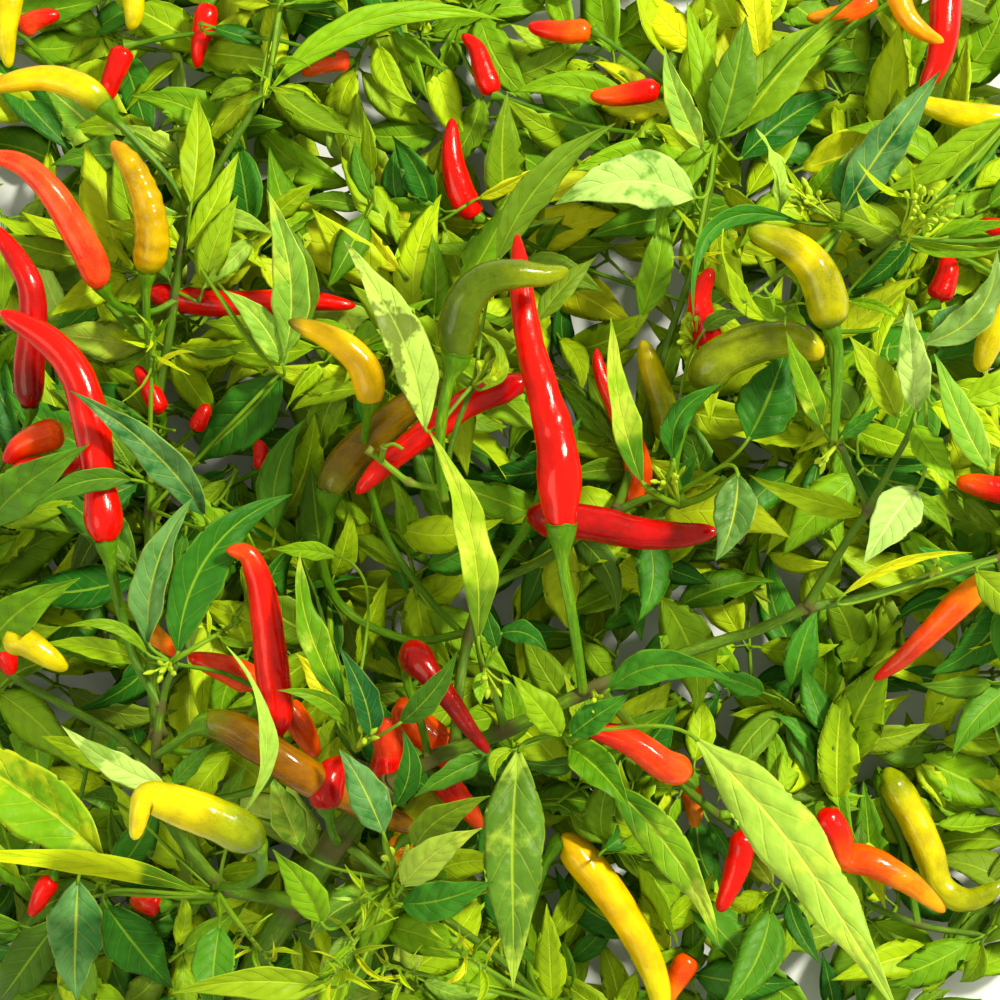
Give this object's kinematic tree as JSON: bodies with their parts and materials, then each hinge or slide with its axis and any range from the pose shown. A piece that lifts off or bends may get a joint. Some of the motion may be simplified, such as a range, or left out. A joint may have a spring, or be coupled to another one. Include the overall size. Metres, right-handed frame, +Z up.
{
  "type": "chilli pepper branch",
  "caption": "Cut fruiting branch of a chilli pepper, laid down: forked green stems with long tapering fruits and lance-shaped leaves.",
  "frame": {"origin": "under the middle of the branch, on the surface that it lies on", "axes": "+Z up from that surface; +Y the way the branch grows, from the cut at the foot of its main stem; +X to the right"},
  "size_m": [0.28, 0.272, 0.091],
  "materials": {
    "stem": "green bark with fine ridges, browner at the joints",
    "leaf": "satin leaf with sunk veins, paler underneath",
    "fruit_amber": "smooth waxy skin with a clear gloss",
    "fruit_brown": "smooth waxy skin with a clear gloss",
    "fruit_green": "smooth waxy skin with a clear gloss",
    "fruit_lime": "smooth waxy skin with a clear gloss",
    "fruit_orange": "smooth waxy skin with a clear gloss",
    "fruit_red": "smooth waxy skin with a clear gloss",
    "fruit_yellow": "smooth waxy skin with a clear gloss"
  },
  "bodies": {
    "root": {"main_stem": "stem", "main_arm": "stem", "upper_arm": "stem", "right_arm": "stem", "front_twig": "stem", "crown_twig": "stem", "crown_side_twig": "stem", "back_arm": "stem", "centre_twig": "stem", "left_arm": "stem", "far_left_arm": "stem", "back_left_arm": "stem", "back_top_arm": "stem", "lower_arm": "stem", "bottom_arm": "stem", "fruit_centre_red": "fruit_red", "fruit_crossing_red": "fruit_red", "fruit_top_green": "fruit_green", "fruit_right_green": "fruit_green", "fruit_right_yellow": "fruit_lime", "fruit_olive": "fruit_brown", "fruit_slim_red": "fruit_red", "fruit_left_amber": "fruit_amber", "fruit_small_red": "fruit_red", "fruit_inner_red": "fruit_orange", "fruit_low_red": "fruit_red", "fruit_left_brown": "fruit_brown", "fruit_left_upright": "fruit_red", "fruit_left_flat": "fruit_red", "fruit_edge_red": "fruit_red", "fruit_edge_deep_red": "fruit_red", "fruit_edge_light_red": "fruit_red", "fruit_corner_yellow": "fruit_yellow", "fruit_left_yellow": "fruit_amber", "fruit_front_yellow": "fruit_yellow", "fruit_behind_red": "fruit_red", "fruit_bottom_yellow": "fruit_amber", "fruit_right_orange": "fruit_orange", "fruit_low_right_yellow": "fruit_yellow", "leaves_crown_left": "leaf", "leaves_crown_right": "leaf", "leaves_centre_top": "leaf", "leaves_centre": "leaf", "leaves_main_fork": "leaf", "leaves_low_centre": "leaf", "leaves_inner_left": "leaf", "leaves_left_upright": "leaf", "leaves_left": "leaf", "leaves_low_left": "leaf", "leaves_left_edge": "leaf", "leaves_left_back": "leaf", "leaves_top_left": "leaf", "leaves_top_left_tip": "leaf", "leaves_top_back": "leaf", "leaves_back_centre": "leaf", "leaves_front_right": "leaf", "leaves_right": "leaf", "leaves_low_right": "leaf", "leaves_bottom": "leaf", "leaves_twig_fork": "leaf"}
  },
  "joints": []
}
